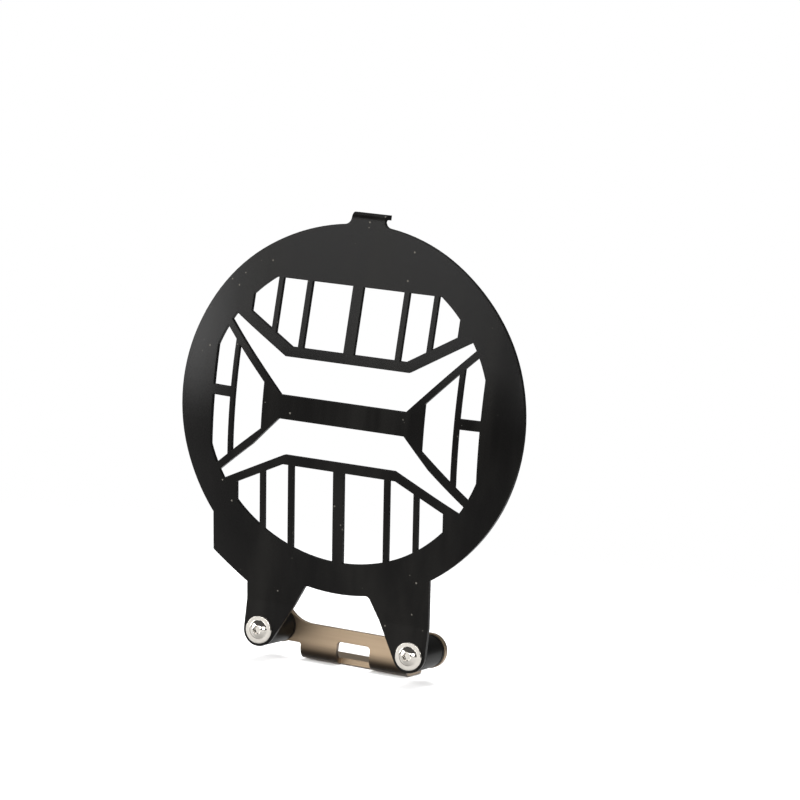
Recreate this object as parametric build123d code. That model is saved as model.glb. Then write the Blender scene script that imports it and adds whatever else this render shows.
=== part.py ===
from build123d import *
import math
import os

# Motorcycle headlight guard: a cut and folded sheet plate standing off a steel bracket.
# Millimetres. +Z up, -Y the face that looks forward, +X to the right of a viewer in front.
# The origin lies on the underside of the bracket, midway between its two fixing holes.

# Driving sizes of the plate, with distances along the sheet counted from the disc centre
SHEET = 2.5
DISC_R = 93.0
DISC_TILT = 4.2
LEAN_LOW = 13.5
LEAN_TOP = 5.3
ROLL_R = 203.0
DISC_ABOVE_NOSE = 1.6
FLAT_HALF = 50.4
SIDE_R = 107.0
CREASE_DOWN = 104.3
CREASE_R = 3.0
CREASE_TO_HOLE = 14.9

# Driving sizes of the legs, the side lug and the top tab
FOOT_Z = 16.0
FOOT_X = 41.5
FOOT_R = 8.6
HOLE_R = 3.25
GAP_HALF = 17.3
GAP_FILLET = 2.5
LUG_X = 70.5
LUG_DOWN = 80.5
LUG_MEETS_LEG = 94.3
TAB_HALF = 9.0
TAB_RISE = 3.2
TAB_ROOT_R = 3.4
TAB_FOLD_R = 1.5
TAB_FOLD_ANGLE = 84.0
TAB_REACH = 4.0

# Driving sizes of the windows, measured from the disc centre
FIELD_R = 76.8
FIELD_HALF = 72.5
CORNER_R = 0.8
TOP_Z = 62.5
SHOULDER_X = 55.8
BAND_UP = 5.0
UPPER_SLIT_TOP = 24.2
UPPER_SLIT_HALF = 33.5
UPPER_SLOPE = 0.605
BODY_TOP = 5.0
BODY_BOTTOM = -7.0
BODY_HALF = 43.5
ARM_SLOPE = 1.05
ARM_WIDE = 4.9
LOW_ARM_X = 48.0
LOW_ARM_Z = -22.0
LOW_ARM_SLOPE = 0.85
LOWER_SLIT_BOTTOM = -25.0
LOWER_SLIT_HALF = 30.0
LOWER_SLOPE = 0.495
SILL_HALF = 56.5
OUTER_BAR_X = 42.0
OUTER_BAR_W = 2.5
INNER_BAR_X = 26.2
INNER_BAR_W = 2.8
CENTRE_BAR_W = 5.6
POST_X = 60.8
POST_W = 2.3
TIE_BOTTOM = 0.2
TIE_TOP = 5.3

# Driving sizes of the bracket and the hardware
SPACER_LONG = 24.5
SPACER_R = 8.5
SPACER_BORE_R = 5.3
GROOVE_BACK = 2.4
GROOVE_WIDE = 0.8
GROOVE_DEEP = 0.4
SLEEVE_R = 5.0
SLEEVE_BORE_R = 3.25
STEEL = 3.0
EAR_R = 8.9
WEB_RISE = 3.0
DIP_HALF = 31.7
DIP_R = 17.0
DIP_SHOULDER_R = 2.5
WEB_HALF = 29.5
NECK_DROP = 7.6
BEND_R = 4.0
NOTCH_R = 1.2
FLANGE_DEEP = 26.0
FIXING_SETBACK = 15.0
FIXING_HALF = 19.0
FIXING_R = 3.3
PORT_HALF = 9.3
PORT_DROP = 3.7
PORT_SETBACK = 8.5
SCREW_R = 3.0
HEAD_R = 5.6
HEAD_RISE = 3.3
HEAD_FLANGE_R = 7.2
HEAD_FLANGE_T = 1.1
SOCKET_AF = 4.0
SOCKET_DEEP = 2.0
NUT_AF = 10.0
NUT_HIGH = 6.0
NUT_FLANGE_R = 7.0
THREAD_GAP = 0.15

# Places that follow from the sizes
BRACKET_FRONT = -FIXING_SETBACK
FOOT_BACK = BRACKET_FRONT - SPACER_LONG
FOOT_FRONT = FOOT_BACK - SHEET
GAP_DOWN = math.sqrt(DISC_R ** 2 - GAP_HALF ** 2)
FAR = 3.0 * DISC_R


def flat_polygon(points):
    """A face of the front view, through points given from the disc centre."""
    return make_face(Polyline(points, close=True).edges())


def flat_disc(radius, x=0.0, z=0.0):
    """A round face of the front view, placed from the disc centre."""
    return Pos(x, z) * Circle(radius)


def mirrored(solid):
    """A solid together with its mirror image across the middle plane."""
    return solid + mirror(solid, Plane.YZ)


def sheet_edge(setback):
    """One face of the folded sheet seen from the side, from the foot to the top tab."""
    crease_z = FOOT_Z + CREASE_TO_HOLE
    bend = CREASE_R * math.tan(math.radians(LEAN_LOW / 2))
    to_nose = LEAN_LOW - DISC_TILT
    climb = CREASE_DOWN - bend - ROLL_R * math.radians(to_nose) - DISC_ABOVE_NOSE
    rest = ROLL_R * math.radians(LEAN_TOP + DISC_TILT) - DISC_ABOVE_NOSE
    foot = Line((FOOT_FRONT + setback, 0), (FOOT_FRONT + setback, crease_z - bend))
    crease = JernArc(foot @ 1, foot % 1, CREASE_R + setback, LEAN_LOW)
    lower = PolarLine(crease @ 1, climb, direction=crease % 1)
    roll = JernArc(lower @ 1, lower % 1, ROLL_R - setback, -(LEAN_LOW + LEAN_TOP))
    upper = PolarLine(roll @ 1, DISC_R + TAB_RISE - rest, direction=roll % 1)
    return foot, crease, lower, roll, upper


def disc_place():
    """The frame of the disc: its centre on the front face, tilted forward with the disc."""
    past_start = LEAN_LOW - DISC_TILT + math.degrees(DISC_ABOVE_NOSE / ROLL_R)
    centre = sheet_edge(0.0)[3] @ (past_start / (LEAN_LOW + LEAN_TOP))
    return Pos(0, centre.X, centre.Y) * Rot(DISC_TILT, 0, 0)


def foot_down():
    """How far the foot holes lie below the disc centre in the front view of the disc."""
    hole = disc_place().inverse() * Pos(0, FOOT_FRONT, FOOT_Z)
    return -hole.position.Z


def sheet_section():
    """The side view of the sheet as a thin closed face on the middle plane."""
    front = sheet_edge(0.0)
    rear = sheet_edge(SHEET)
    bottom = Line(front[0] @ 0, rear[0] @ 0)
    top = Line(front[-1] @ 1, rear[-1] @ 1)
    return Plane.YZ * make_face([*front, top, *rear, bottom])


def sheet_blank():
    """The rolled sheet before it is cut: flat across the middle, swept back at both sides."""
    section = sheet_section()
    middle = extrude(section, FLAT_HALF, both=True)
    nose_y = section.bounding_box().min.Y
    pivot = Axis((FLAT_HALF, nose_y + SIDE_R, 0), (0, 0, 1))
    turn = math.degrees(math.asin((DISC_R - FLAT_HALF + 6.0) / SIDE_R)) + 4.0
    side = revolve(Pos(FLAT_HALF, 0, 0) * section, pivot, turn)
    return middle + side + mirror(side, Plane.YZ)


def foot_tangent():
    """Where the straight inner edge of a leg meets the round of its foot."""
    across = FOOT_X - GAP_HALF
    down = foot_down() - GAP_DOWN
    reach = math.hypot(across, down)
    heading = math.atan2(-down, across) - math.asin(FOOT_R / reach)
    return FOOT_X + FOOT_R * math.sin(heading), -foot_down() - FOOT_R * math.cos(heading)


def leg_face():
    """One leg in the front view, down to the round of its foot."""
    touch_x, touch_z = foot_tangent()
    outer = FOOT_X + FOOT_R
    leg = flat_polygon([
        (GAP_HALF, -GAP_DOWN),
        (touch_x, touch_z),
        (FOOT_X, -foot_down()),
        (outer, -foot_down()),
        (outer, -FIELD_R),
        (GAP_HALF, -FIELD_R),
    ])
    return leg + flat_disc(FOOT_R, FOOT_X, -foot_down())


def lug_face():
    """The lug on the left that carries the print, in the front view."""
    inner = -FOOT_X
    shoulder = -math.sqrt(DISC_R ** 2 - LUG_X ** 2) + 2 * SHEET
    return flat_polygon([
        (-LUG_X, shoulder),
        (-LUG_X, -LUG_DOWN),
        (-FOOT_X - FOOT_R, -LUG_MEETS_LEG),
        (inner, -LUG_MEETS_LEG),
        (inner, shoulder),
    ])


def through(face):
    """A prism from a front-view face, running through the whole plate, in the disc's frame."""
    return extrude(Plane.XZ * face, FAR, both=True)


def corners_at(prism, x, z):
    """The upright edges of a prism at x on either side and at height z in the front view."""
    lines = prism.edges().filter_by(Axis.Y)
    return lines.filter_by(lambda e: abs(abs(e.center().X) - x) < 0.1 and abs(e.center().Z - z) < 0.1)


def outline_prism():
    """The whole outline of the plate as a prism, without the windows."""
    root_z = math.sqrt(DISC_R ** 2 - TAB_HALF ** 2)
    legs = mirrored(through(leg_face()))
    tab = bar_face(0, 2 * TAB_HALF, 0, DISC_R + TAB_RISE + TAB_REACH)
    prism = through(flat_disc(DISC_R) + lug_face() + tab) + legs
    prism = fillet(corners_at(prism, TAB_HALF, root_z), TAB_ROOT_R)
    return fillet(corners_at(prism, GAP_HALF, -GAP_DOWN), GAP_FILLET)


def on_line(x, start_x, start_z, slope):
    """The point at x on a line through a start point."""
    return x, start_z + slope * (x - start_x)


def crown_face():
    """The solid sheet above the upper slit, with the upper windows left open."""
    sill_z = UPPER_SLIT_TOP + BAND_UP
    sill_half = UPPER_SLIT_HALF - BAND_UP / 2
    shoulder_low = on_line(SHOULDER_X, sill_half, sill_z, UPPER_SLOPE)
    return flat_polygon([
        (0, TOP_Z),
        (SHOULDER_X, TOP_Z),
        shoulder_low,
        (sill_half, sill_z),
        (0, sill_z),
        (0, UPPER_SLIT_TOP),
        (UPPER_SLIT_HALF, UPPER_SLIT_TOP),
        on_line(DISC_R, UPPER_SLIT_HALF, UPPER_SLIT_TOP, UPPER_SLOPE),
        (DISC_R, DISC_R),
        (0, DISC_R),
    ])


def body_face():
    """The block in the middle with its two slanting arms to the ring."""
    start = BODY_HALF - 9.5
    upper = flat_polygon([
        (0, BODY_TOP),
        (start, BODY_TOP),
        on_line(DISC_R, start, BODY_TOP, ARM_SLOPE),
        on_line(DISC_R, start, BODY_TOP - ARM_WIDE, ARM_SLOPE),
        on_line(BODY_HALF, start, BODY_TOP - ARM_WIDE, ARM_SLOPE),
        (BODY_HALF, 0),
        (0, 0),
    ])
    step_z = LOW_ARM_Z + ARM_WIDE
    lower = flat_polygon([
        (0, 0),
        (BODY_HALF, 0),
        on_line(BODY_HALF, LOW_ARM_X, step_z, -LOW_ARM_SLOPE),
        on_line(DISC_R, LOW_ARM_X, step_z, -LOW_ARM_SLOPE),
        on_line(DISC_R, LOW_ARM_X, LOW_ARM_Z, -LOW_ARM_SLOPE),
        (LOW_ARM_X, LOW_ARM_Z),
        (start, BODY_BOTTOM),
        (0, BODY_BOTTOM),
    ])
    return upper + lower


def sill_face():
    """The band under the lower slit and the sheet beside the lower windows."""
    low_z = LOWER_SLIT_BOTTOM - BAND_UP
    low_half = LOWER_SLIT_HALF + 0.7
    return flat_polygon([
        (0, LOWER_SLIT_BOTTOM),
        (LOWER_SLIT_HALF, LOWER_SLIT_BOTTOM),
        on_line(DISC_R, LOWER_SLIT_HALF, LOWER_SLIT_BOTTOM, -LOWER_SLOPE),
        (DISC_R, -DISC_R),
        (SILL_HALF, -DISC_R),
        on_line(SILL_HALF, low_half, low_z, -LOWER_SLOPE),
        (low_half, low_z),
        (0, low_z),
    ])


def bar_face(x, width, low, high):
    """An upright bar in the front view."""
    return flat_polygon([
        (x - width / 2, low),
        (x + width / 2, low),
        (x + width / 2, high),
        (x - width / 2, high),
    ])


def bars_face():
    """The bars of the upper and lower windows and the posts and ties at the side."""
    high = UPPER_SLIT_TOP + BAND_UP / 2
    low = LOWER_SLIT_BOTTOM - BAND_UP / 2
    bars = bar_face(0, CENTRE_BAR_W, high, DISC_R) + bar_face(0, CENTRE_BAR_W, -DISC_R, low)
    for x, width in ((INNER_BAR_X, INNER_BAR_W), (OUTER_BAR_X, OUTER_BAR_W)):
        climb = UPPER_SLOPE * max(0.0, x - UPPER_SLIT_HALF)
        drop = LOWER_SLOPE * max(0.0, x - LOWER_SLIT_HALF)
        bars += bar_face(x, width, high + climb, DISC_R)
        bars += bar_face(x, width, -DISC_R, low - drop)
    post_top = BODY_TOP + ARM_SLOPE * (POST_X - BODY_HALF + 9.5) - ARM_WIDE / 2
    post_low = LOW_ARM_Z - LOW_ARM_SLOPE * (POST_X - LOW_ARM_X) + ARM_WIDE / 2
    bars += bar_face(POST_X, POST_W, post_low, post_top)
    tie = (POST_X + FIELD_HALF + SHEET) / 2
    bars += bar_face(tie, FIELD_HALF + SHEET - POST_X, TIE_BOTTOM, TIE_TOP)
    return bars


def window_prisms():
    """The windows and slits as prisms, with slightly rounded corners."""
    field = flat_disc(FIELD_R) & bar_face(0, 2 * FIELD_HALF, -DISC_R, DISC_R)
    webs = mirrored(through(crown_face() + body_face() + sill_face() + bars_face()))
    openings = through(field) - webs
    return [fillet(hole.edges().filter_by(Axis.Y), CORNER_R) for hole in openings.solids()]


def tab_fold():
    """The end of the top tab, folded to the rear."""
    front = sheet_edge(0.0)[-1]
    rear = sheet_edge(SHEET)[-1]
    outer_bend = JernArc(front @ 1, front % 1, TAB_FOLD_R + SHEET, -TAB_FOLD_ANGLE)
    outer_end = PolarLine(outer_bend @ 1, TAB_REACH, direction=outer_bend % 1)
    inner_bend = JernArc(rear @ 1, rear % 1, TAB_FOLD_R, -TAB_FOLD_ANGLE)
    inner_end = PolarLine(inner_bend @ 1, TAB_REACH, direction=inner_bend % 1)
    root = Line(front @ 1, rear @ 1)
    tip = Line(outer_end @ 1, inner_end @ 1)
    section = Plane.YZ * make_face([outer_bend, outer_end, tip, inner_end, inner_bend, root])
    return extrude(section, TAB_HALF, both=True)


def plate():
    """The guard plate: rolled blank, cut to the outline, windows and holes cut out."""
    place = disc_place()
    blank = sheet_blank() & place * outline_prism()
    for window in window_prisms():
        blank -= place * window
    for x in (-FOOT_X, FOOT_X):
        blank -= extrude(rear_axis(x, FOOT_BACK + SHEET) * Circle(HOLE_R), 3 * SHEET)
    return blank + tab_fold()


def rear_axis(x, y):
    """A plane on the line of a foot hole, facing forward, at a depth y."""
    return Plane(origin=(x, y, FOOT_Z), x_dir=(1, 0, 0), z_dir=(0, -1, 0))


def ring(plane, outer, inner, length):
    """A plain tube standing forward of a plane."""
    return extrude(plane * (Circle(outer) - Circle(inner)), length)


def bracket_front():
    """The upright face of the bracket, dipped between its two round ears."""
    dip = EAR_R - WEB_RISE
    neck = make_face(Polyline([
        (FOOT_X, -NECK_DROP),
        (FOOT_X, EAR_R),
        (DIP_HALF + dip, EAR_R),
        (DIP_HALF, WEB_RISE),
        (-DIP_HALF, WEB_RISE),
        (-DIP_HALF - dip, EAR_R),
        (-FOOT_X, EAR_R),
        (-FOOT_X, -NECK_DROP),
    ], close=True).edges())
    web_low = BEND_R + STEEL - FOOT_Z
    web = Pos(0, web_low / 2) * Rectangle(2 * WEB_HALF, -web_low)
    ears = Pos(FOOT_X, 0) * Circle(EAR_R) + Pos(-FOOT_X, 0) * Circle(EAR_R)
    front = extrude(Plane.XZ.offset(-BRACKET_FRONT) * Pos(0, FOOT_Z) * (neck + web + ears), -STEEL)
    front = fillet(corners_at(front, DIP_HALF, FOOT_Z + WEB_RISE), DIP_R)
    front = fillet(corners_at(front, DIP_HALF + dip, FOOT_Z + EAR_R), DIP_SHOULDER_R)
    return fillet(corners_at(front, WEB_HALF, FOOT_Z - NECK_DROP), NOTCH_R)


def bracket_foot():
    """The rounded bend and the flange that runs to the rear under the bracket."""
    corner = BEND_R + STEEL
    outer = JernArc((BRACKET_FRONT, corner), (0, -1), corner, 90)
    under = Line(outer @ 1, (BRACKET_FRONT + FLANGE_DEEP, 0))
    rear = Line(under @ 1, (BRACKET_FRONT + FLANGE_DEEP, STEEL))
    over = Line(rear @ 1, (BRACKET_FRONT + corner, STEEL))
    inner = JernArc(over @ 1, (-1, 0), BEND_R, -90)
    lip = Line(inner @ 1, outer @ 0)
    section = Plane.YZ * make_face([outer, under, rear, over, inner, lip])
    return extrude(section, WEB_HALF, both=True)


def bracket():
    """The folded steel bracket behind the spacers."""
    whole = bracket_front() + bracket_foot()
    port = Box(2 * PORT_HALF, 2 * PORT_SETBACK, 2 * (FOOT_Z - PORT_DROP))
    port = fillet(port.edges().filter_by(Axis.Y), 2.0)
    whole -= Pos(0, BRACKET_FRONT, 0) * port
    for x in (-FOOT_X, FOOT_X):
        whole -= extrude(rear_axis(x, BRACKET_FRONT + 2 * STEEL) * Circle(HOLE_R), 4 * STEEL)
    for x in (-FIXING_HALF, FIXING_HALF):
        whole -= Pos(x, 0, 0) * Cylinder(FIXING_R, 4 * STEEL)
    corners = whole.edges().filter_by(Axis.Z).filter_by(lambda e: e.center().Y > BRACKET_FRONT + FLANGE_DEEP - 0.1)
    return fillet(corners, STEEL)


def spacer(x):
    """A black spacer with broken outer rims and one shallow groove near its rear end."""
    body = ring(rear_axis(x, BRACKET_FRONT), SPACER_R, SPACER_BORE_R, SPACER_LONG)
    rims = body.edges().filter_by(GeomType.CIRCLE).filter_by(lambda e: e.radius > SPACER_R - 0.1)
    body = chamfer(rims, 0.6)
    groove = ring(rear_axis(x, BRACKET_FRONT - GROOVE_BACK), SPACER_R + 1.0, SPACER_R - GROOVE_DEEP, GROOVE_WIDE)
    return body - groove


def sleeve(x):
    """The steel tube inside a spacer that takes the pull of the screw."""
    return ring(rear_axis(x, BRACKET_FRONT), SLEEVE_R, SLEEVE_BORE_R, SPACER_LONG)


def screw(x):
    """A domed socket screw with a flange under its head."""
    seat = rear_axis(x, FOOT_FRONT)
    flange = extrude(seat * Circle(HEAD_FLANGE_R), HEAD_FLANGE_T)
    top_edge = flange.edges().sort_by(Axis.Y)[0]
    flange = chamfer(top_edge, HEAD_FLANGE_T * 0.45)
    sphere_r = (HEAD_R ** 2 + HEAD_RISE ** 2) / (2 * HEAD_RISE)
    ball = Pos(x, FOOT_FRONT - HEAD_RISE + sphere_r, FOOT_Z) * Sphere(sphere_r)
    dome = ball & extrude(seat * Circle(HEAD_FLANGE_R), HEAD_RISE)
    socket = extrude(rear_axis(x, FOOT_FRONT - HEAD_RISE + SOCKET_DEEP) * RegularPolygon(SOCKET_AF / math.sqrt(3), 6), 4)
    length = SHEET + SPACER_LONG + STEEL + NUT_HIGH + 1.5
    shank = extrude(seat * Circle(SCREW_R), -length)
    return flange + dome - socket + shank


def nut(x):
    """A flanged nut behind the bracket."""
    seat = rear_axis(x, BRACKET_FRONT + STEEL + NUT_HIGH)
    hexagon = extrude(seat * RegularPolygon(NUT_AF / math.sqrt(3), 6), NUT_HIGH)
    flange = extrude(rear_axis(x, BRACKET_FRONT + STEEL + 1.4) * Circle(NUT_FLANGE_R), 1.4)
    bore = extrude(rear_axis(x, BRACKET_FRONT + STEEL + 2 * NUT_HIGH) * Circle(SCREW_R + THREAD_GAP), 3 * NUT_HIGH)
    return hexagon + flange - bore


os.makedirs("parts", exist_ok=True)
export_step(plate(), "parts/guard_plate.step")
export_step(bracket(), "parts/bracket.step")
export_step(spacer(-FOOT_X), "parts/spacer_left.step")
export_step(spacer(FOOT_X), "parts/spacer_right.step")
export_step(sleeve(-FOOT_X), "parts/sleeve_left.step")
export_step(sleeve(FOOT_X), "parts/sleeve_right.step")
export_step(screw(-FOOT_X), "parts/screw_left.step")
export_step(screw(FOOT_X), "parts/screw_right.step")
export_step(nut(-FOOT_X), "parts/nut_left.step")
export_step(nut(FOOT_X), "parts/nut_right.step")
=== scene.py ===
import bpy
import math
import numpy as np
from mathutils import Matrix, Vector


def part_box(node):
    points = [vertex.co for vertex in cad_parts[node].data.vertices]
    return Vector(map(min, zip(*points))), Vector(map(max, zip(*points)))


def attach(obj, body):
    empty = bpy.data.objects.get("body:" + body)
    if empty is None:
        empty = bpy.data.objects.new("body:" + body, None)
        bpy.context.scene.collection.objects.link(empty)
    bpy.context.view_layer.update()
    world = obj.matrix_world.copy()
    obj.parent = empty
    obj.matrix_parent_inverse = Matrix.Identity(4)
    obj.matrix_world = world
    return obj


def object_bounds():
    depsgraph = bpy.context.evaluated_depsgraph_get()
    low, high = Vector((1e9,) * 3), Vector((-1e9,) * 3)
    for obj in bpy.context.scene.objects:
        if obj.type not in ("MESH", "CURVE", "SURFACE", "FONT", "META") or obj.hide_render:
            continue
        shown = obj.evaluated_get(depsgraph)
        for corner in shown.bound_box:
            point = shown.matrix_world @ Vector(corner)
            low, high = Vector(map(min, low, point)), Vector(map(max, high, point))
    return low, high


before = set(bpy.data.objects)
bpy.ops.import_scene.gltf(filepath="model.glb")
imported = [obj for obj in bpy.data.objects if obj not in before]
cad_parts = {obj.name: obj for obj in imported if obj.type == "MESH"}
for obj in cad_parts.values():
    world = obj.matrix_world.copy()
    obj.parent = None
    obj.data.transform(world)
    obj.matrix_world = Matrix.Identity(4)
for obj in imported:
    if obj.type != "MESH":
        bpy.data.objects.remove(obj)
bounds_before = [list(map(float, corner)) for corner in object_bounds()]

# The guard plate is one cut and rolled sheet of steel under a satin black powder coat.
# The coat has a very fine orange-peel grain, faint upright streaks and sparse specks of dust.
# It hangs on the two screws, in front of the spacers.


class Sock:
    """A shader socket that can be used in sums: every operator adds one Math node to its tree."""

    def __init__(self, net, socket):
        self.net = net
        self.socket = socket

    def apply(self, operation, *others):
        """The result of a Math node fed by this socket and the others, which may be numbers."""
        inputs = dict(enumerate((self,) + others))
        return self.net.node("ShaderNodeMath", {"operation": operation}, inputs)

    def __add__(self, other):
        return self.apply("ADD", other)

    def __radd__(self, other):
        return self.apply("ADD", other)

    def __sub__(self, other):
        return self.apply("SUBTRACT", other)

    def __rsub__(self, other):
        return (self * -1.0).apply("ADD", other)

    def __mul__(self, other):
        return self.apply("MULTIPLY", other)

    def __rmul__(self, other):
        return self.apply("MULTIPLY", other)

    def __truediv__(self, other):
        return self.apply("DIVIDE", other)

    def __rtruediv__(self, other):
        return self.apply("POWER", -1.0) * other

    def clamp(self, low=0.0, high=1.0):
        """This value held between low and high."""
        return self.apply("MAXIMUM", low).apply("MINIMUM", high)

    def step(self, start, end):
        """A smooth step from 0 at start to 1 at end: 3 t^2 - 2 t^3."""
        t = ((self - start) / (end - start)).clamp()
        return t * t * (3.0 - 2.0 * t)


class Net:
    """A node tree and the one way in which nodes are added to it."""

    def __init__(self, tree):
        self.tree = tree

    def wire(self, node, key, value):
        """Links a socket to an input of a node, or sets that input to a plain value."""
        if isinstance(value, Sock):
            self.tree.links.new(value.socket, node.inputs[key])
        else:
            node.inputs[key].default_value = value

    def node(self, kind, settings=None, inputs=None, out=0):
        """One output of a new node of that type, with its settings and inputs."""
        made = self.tree.nodes.new(kind)
        for key, value in (settings or {}).items():
            setattr(made, key, value)
        for key, value in (inputs or {}).items():
            self.wire(made, key, value)
        return Sock(self, made.outputs[out])


class Look(Net):
    """A material with one Principled shader."""

    def __init__(self, name):
        self.material = bpy.data.materials.new(name)
        self.material.use_nodes = True
        super().__init__(self.material.node_tree)
        self.shader = self.tree.nodes["Principled BSDF"]

    def feed(self, name, value):
        """Sets or links one input of the Principled shader."""
        self.wire(self.shader, name, value)

    def point(self):
        """The point on the surface in the object's own metres."""
        return self.node("ShaderNodeTexCoord", out="Object")

    def axis(self, name):
        """That point's X, Y or Z."""
        return self.node("ShaderNodeSeparateXYZ", None, {"Vector": self.point()}, name)

    def noise(self, scale, detail=4.0, stretch=(1.0, 1.0, 1.0)):
        """Noise between 0 and 1 over the surface, stretched per axis."""
        spread = self.node("ShaderNodeMapping", None, {"Vector": self.point(), "Scale": stretch})
        wires = {"Vector": spread, "Scale": scale, "Detail": detail, "Roughness": 0.55}
        return self.node("ShaderNodeTexNoise", None, wires)

    def mix(self, share, dark, light):
        """A colour between two, by share; each colour may be a socket."""
        dark, light = (c if isinstance(c, Sock) else (*c, 1.0) for c in (dark, light))
        return self.node("ShaderNodeMix", {"data_type": "RGBA"}, {0: share, 6: dark, 7: light}, 2)

    def bump(self, height, strength, distance, rounded):
        """Feeds a bump of that height, on edges softened by a radius, into the shader's normal."""
        soft = self.node("ShaderNodeBevel", None, {"Radius": rounded})
        wires = {"Height": height, "Strength": strength, "Distance": distance, "Normal": soft}
        self.feed("Normal", self.node("ShaderNodeBump", None, wires))


def repaint(look, *nodes):
    """Gives every material slot of those CAD nodes this look."""
    for node in nodes:
        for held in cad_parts[node].material_slots:
            held.material = look.material


coat = Look("black_coat")
grain = coat.noise(2400.0, 2.0)
streak = coat.noise(60.0, 3.0, (1.0, 1.0, 0.10)).step(0.40, 0.72)
cloud = coat.noise(18.0, 2.0)
dust_here = coat.noise(75.0, 1.0).step(0.54, 0.58)
cell = coat.node("ShaderNodeTexVoronoi", None, {"Vector": coat.point(), "Scale": 210.0})
speck = (1.0 - cell.step(0.07, 0.13)) * dust_here
wear = (streak * 0.3 + cloud * 0.3).clamp()
black = coat.mix(wear, (0.0004, 0.0003, 0.0003), (0.0070, 0.0066, 0.0058))
coat.feed("Base Color", coat.mix(speck, black, (0.060, 0.056, 0.048)))
coat.feed("Roughness", (0.31 + streak * 0.06 + cloud * 0.06 + speck * 0.3).clamp())
coat.feed("Specular IOR Level", 0.052)
coat.bump(grain, 0.30, 0.00004, 0.00045)
repaint(coat, "guard_plate")

# The screws are polished stainless, domed, with a flange and a hex socket.
# Each goes through the plate, a spacer with its sleeve and an ear of the bracket.
bright = Look("bright_steel")
scuff = bright.noise(420.0)
bright.feed("Base Color", bright.mix(scuff, (0.300, 0.283, 0.257), (0.420, 0.400, 0.368)))
bright.feed("Metallic", 1.0)
bright.feed("Roughness", 0.04 + scuff * 0.07)
bright.bump(scuff, 0.08, 0.00004, 0.00025)
repaint(bright, "screw_left", "screw_right")

# The screws' threads show only on the short ends behind the nuts, as one ridge on each.
# They are rolled into the steel, at the usual pitch of 1 mm for a screw this thick.
pitch = 0.001
turns = 1.35
shank_r = 0.003
crest_high = 0.00013
foot_low = -0.00012
root_low = -0.00025
sunk_end = 0.0001
runout = 0.5
in_nut = 0.0002


def thread(x, z, start_y):
    """A ridge along (x + r cos a, start + pitch a / 2 pi, z + r sin a), with a sharp crest.

    Its four-cornered section shrinks to a point under the shank's surface over the runout.
    """
    angle = np.linspace(0.0, 2.0 * math.pi * turns, 97)[:, None]
    full = np.clip(np.minimum(angle, angle[-1] - angle) / runout, 0.0, 1.0)
    along = np.array([-0.45, 0.0, 0.45, 0.0]) * pitch
    rise = np.array([foot_low, crest_high, foot_low, root_low])
    radius = shank_r + rise * full - sunk_end * (1.0 - full)
    y = start_y + pitch * angle / (2.0 * math.pi) + along * full
    points = np.stack([x + radius * np.cos(angle), y, z + radius * np.sin(angle)], axis=-1)
    rows, ring = points.shape[:2]
    index = np.arange(rows * ring).reshape(rows, ring)
    nearby = np.roll(index, -1, axis=1)
    quads = np.stack([index[:-1], nearby[:-1], nearby[1:], index[1:]], axis=-1).reshape(-1, 4)
    ends = [index[0][::-1].tolist(), index[-1].tolist()]
    return points.reshape(-1, 3).tolist(), quads.tolist() + ends


def shaped(name, points, faces, look):
    """A new object at the origin with that mesh and that look."""
    mesh = bpy.data.meshes.new(name)
    mesh.from_pydata(points, [], faces)
    mesh.materials.append(look.material)
    made = bpy.data.objects.new(name, mesh)
    bpy.context.scene.collection.objects.link(made)
    return made


for side in ("left", "right"):
    low, high = (Vector(corner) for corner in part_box("screw_" + side))
    middle_x = (low.x + high.x) / 2.0
    middle_z = (low.z + high.z) / 2.0
    nut_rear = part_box("nut_" + side)[1][1]
    points, faces = thread(middle_x, middle_z, nut_rear - in_nut)
    ridge = shaped("thread_" + side, points, faces, bright)
    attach(ridge, "root")

# The spacers are moulded in black rubber, a little shiny at their rims.
# They keep the plate off the bracket and deaden its shaking.
rubber = Look("black_rubber")
pores = rubber.noise(1500.0, 3.0)
rubber.feed("Base Color", rubber.mix(pores, (0.0004, 0.0004, 0.0003), (0.0012, 0.0011, 0.0009)))
rubber.feed("Roughness", 0.34 + pores * 0.15)
rubber.feed("Specular IOR Level", 0.05)
rubber.bump(pores, 0.2, 0.00003, 0.0004)
repaint(rubber, "spacer_left", "spacer_right")

# The bracket is a folded strip of stainless steel with a satin face, bolted down by its flange.
# Its brushing runs along X, from ear to ear, and painted shade darkens the lower bend in front.
steel = Look("satin_steel")
brush = steel.noise(420.0, 5.0, (0.03, 1.0, 1.0))
# Painted shade: the satin colour gives way to a dark one low down and in front, on the lower bend.
above_bend = steel.axis("Z").step(0.0034, 0.0108)
behind_bend = steel.axis("Y").step(-0.0125, -0.0080)
outside_painted_shade = (above_bend + behind_bend).clamp()
satin = steel.mix(brush, (0.180, 0.134, 0.090), (0.250, 0.190, 0.130))
steel.feed("Base Color", steel.mix(outside_painted_shade, (0.022, 0.016, 0.011), satin))
steel.feed("Metallic", 1.0)
steel.feed("Roughness", 0.36 + brush * 0.12)
steel.bump(brush, 0.15, 0.00003, 0.0004)
repaint(steel, "bracket")

# The nuts and the sleeves are plain turned steel, behind the bracket and inside the spacers.
# The turning marks are fine and even.
plain = Look("plain_steel")
turned = plain.noise(700.0, 3.0)
plain.feed("Base Color", plain.mix(turned, (0.34, 0.34, 0.33), (0.50, 0.50, 0.49)))
plain.feed("Metallic", 1.0)
plain.feed("Roughness", 0.32 + turned * 0.1)
plain.bump(turned, 0.1, 0.00003, 0.0003)
repaint(plain, "nut_left", "nut_right", "sleeve_left", "sleeve_right")

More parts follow.
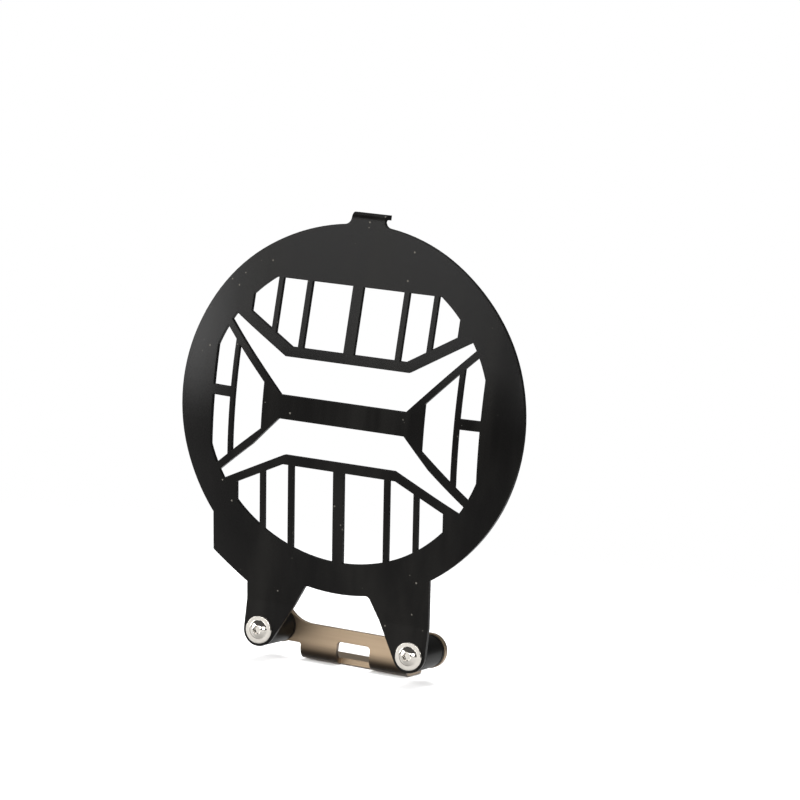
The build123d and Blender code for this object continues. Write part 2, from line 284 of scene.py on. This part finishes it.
# The floor is pale and fades into the white backdrop at some distance from the object.
# The object stands just over it on the bracket's flange, which is its mounting face.
floor_z = bounds_before[0][2] - 0.0006
floor_half = 1.6
signs = ((-1, -1), (1, -1), (1, 1), (-1, 1))
corners = [(floor_half * x, floor_half * y, floor_z) for x, y in signs]
pale = Look("pale_floor")
away = pale.node("ShaderNodeVectorMath", {"operation": "LENGTH"}, {0: pale.point()}, "Value")
pale.feed("Base Color", (0.86, 0.86, 0.86, 1.0))
pale.feed("Roughness", 0.9)
pale.feed("Alpha", 1.0 - away.step(0.12, 0.62))
shaped("floor", corners, [(0, 1, 2, 3)], pale)

# The studio is a dim grey room for what the surfaces mirror and a white one for the camera.
# Which of the two a ray meets is told by the kind of ray.
world = bpy.data.worlds.new("studio")
bpy.context.scene.world = world
world.use_nodes = True
world.node_tree.nodes.remove(world.node_tree.nodes["Background"])
room = Net(world.node_tree)
white = (1.0, 1.0, 1.0, 1.0)
mirrored = room.node("ShaderNodeBackground", None, {"Color": white, "Strength": 0.20})
backdrop = room.node("ShaderNodeBackground", None, {"Color": white, "Strength": 1.0})
seen = room.node("ShaderNodeLightPath", out="Is Camera Ray")
either = room.node("ShaderNodeMixShader", None, {0: seen, 1: mirrored, 2: backdrop})
room.wire(world.node_tree.nodes["World Output"], "Surface", either)

# The long panel in front is what the upper half of the plate mirrors towards the camera.
# The side panels do the same for its left and right edges, and the roof panel lights the floor.
middle = (0.0, -0.05, 0.13)


def lamp(name, place, wide, high, power):
    """A soft panel at a place, turned to the object's middle, in metres and watts."""
    light = bpy.data.lights.new(name, "AREA")
    light.shape = "RECTANGLE"
    light.size = wide
    light.size_y = high
    light.energy = power
    holder = bpy.data.objects.new(name, light)
    holder.location = place
    holder.rotation_euler = (Vector(middle) - Vector(place)).to_track_quat("-Z", "Y").to_euler()
    bpy.context.scene.collection.objects.link(holder)


lamp("front_panel", (-0.36, -1.40, 0.56), 1.6, 0.40, 33.0)
lamp("side_panel", (-1.36, -0.75, 0.36), 0.9, 0.90, 36.0)
lamp("right_panel", (0.95, -1.15, 0.42), 0.6, 0.45, 22.0)
lamp("roof_panel", (0.15, 0.25, 1.9), 1.3, 1.3, 50.0)

# The camera stands where the photographer stood, in front and to the right, a little above.
# Its lens and its place were fitted to the outline and the windows of the plate.
lens = bpy.data.cameras.new("camera")
lens.sensor_width = 36.0
lens.lens = 123.169
camera = bpy.data.objects.new("camera", lens)
camera.location = (0.5391335, -1.2973707, 0.2316597)
camera.rotation_euler = tuple(math.radians(turn) for turn in (86.194681, -6.453936, 22.840399))
bpy.context.scene.collection.objects.link(camera)
bpy.context.scene.camera = camera
bpy.context.scene.view_settings.view_transform = "Standard"
